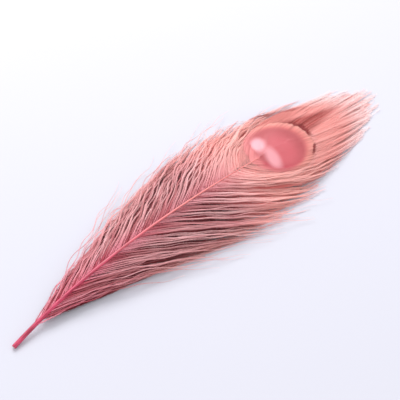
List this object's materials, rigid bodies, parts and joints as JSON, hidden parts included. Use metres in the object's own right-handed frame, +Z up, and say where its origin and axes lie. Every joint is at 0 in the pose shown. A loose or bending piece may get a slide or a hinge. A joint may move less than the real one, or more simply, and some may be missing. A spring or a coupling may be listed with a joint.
{
  "type": "peacock feather",
  "caption": "Trimmed peacock eye feather, bleached and dyed pink, lying on its underside: bare quill, arched shaft, loose barbs on both sides and a round eye under a soft crown.",
  "frame": {"origin": "on the surface that the feather lies on, under the middle of its box", "axes": "+Y along the shaft from the quill's cut end to the tip of the crown, +X to the right of the shaft as seen from above, +Z up out of the feather's upper side"},
  "size_m": [0.094, 0.3002, 0.0134],
  "materials": {
    "shaft_keratin": "satin",
    "loose_barbs": "matte",
    "eye_barbs": "satin"
  },
  "bodies": {
    "root": {"shaft": "shaft_keratin", "left_barbs": "loose_barbs", "right_barbs": "loose_barbs", "eye_barbs": "eye_barbs"}
  },
  "joints": []
}
